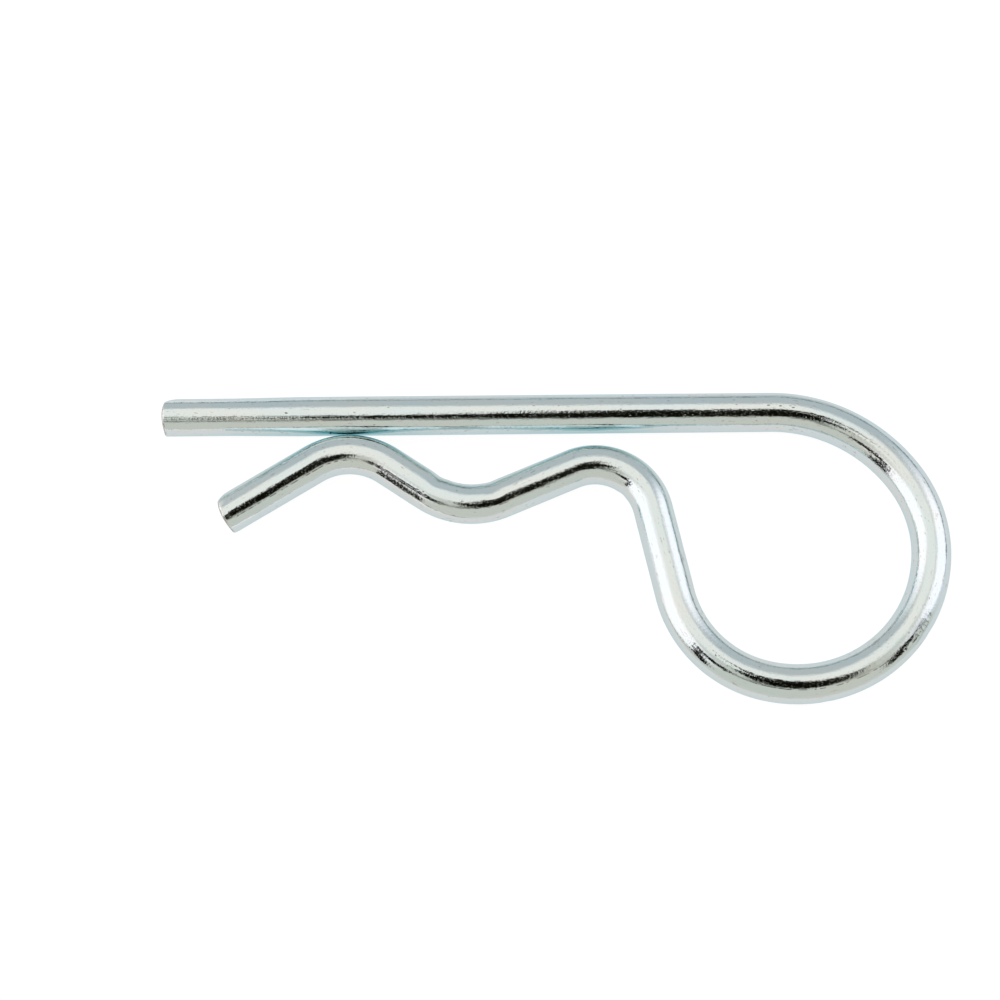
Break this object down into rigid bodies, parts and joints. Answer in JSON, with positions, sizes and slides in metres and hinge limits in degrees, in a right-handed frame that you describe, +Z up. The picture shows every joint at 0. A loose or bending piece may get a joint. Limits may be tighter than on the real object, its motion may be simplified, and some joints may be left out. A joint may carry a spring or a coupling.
{
  "type": "hitch r clip pin",
  "caption": "Spring wire clip that lies flat: its straight leg goes through a cross-drilled shaft, a sprung arm closes round the outside, and a round loop lets it be pulled out.",
  "frame": {"origin": "middle of the clip's footprint, on the surface that it lies on", "axes": "+X from the straight leg's tip towards the loop, +Y from the sprung arm towards the leg, +Z up, square to the plane that the wire is bent in"},
  "size_m": [0.079, 0.0322, 0.004],
  "materials": {
    "zinc_wire": "bright zinc plate on drawn spring steel wire, with a clear to faintly blue passivation, faint draw marks along the wire, and light scuffs on the loop"
  },
  "bodies": {
    "root": {"r_clip": "zinc_wire"}
  },
  "joints": []
}
